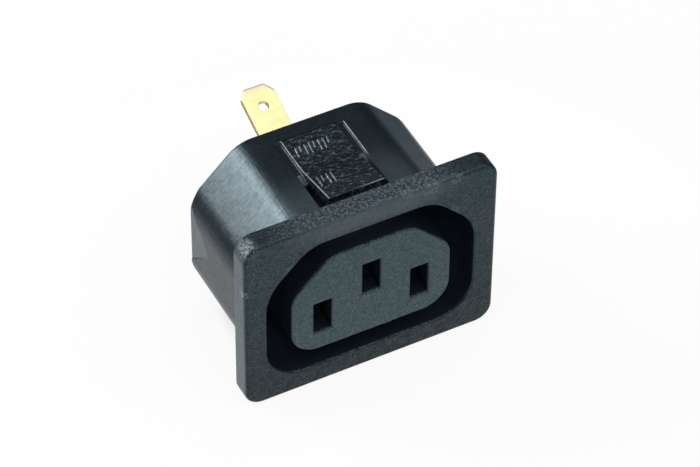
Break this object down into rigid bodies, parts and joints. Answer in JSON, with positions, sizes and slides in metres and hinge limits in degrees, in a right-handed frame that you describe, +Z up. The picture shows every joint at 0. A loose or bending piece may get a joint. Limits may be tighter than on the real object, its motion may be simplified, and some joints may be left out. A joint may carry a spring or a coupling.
{
  "type": "panel power outlet socket",
  "caption": "Snap-in panel power outlet: flanged moulded shell with a shrouded slotted core, sprung catches above and below, and bent blade tabs behind.",
  "frame": {"origin": "centre of the flange's back face, which seats on the front of the panel", "axes": "+X right seen from the front, +Y into the panel towards the terminals, +Z up, with the earth slot above the other two"},
  "size_m": [0.0362, 0.034, 0.0286],
  "materials": {
    "moulding": "moulded black thermoplastic, fine matt",
    "cover": "moulded black thermoplastic, fine matt",
    "contact_brass": "rolled brass strip, lightly tarnished"
  },
  "bodies": {
    "root": {"housing": "moulding", "rear_cover": "cover", "contact_left": "contact_brass", "contact_right": "contact_brass", "contact_earth": "contact_brass"}
  },
  "joints": []
}
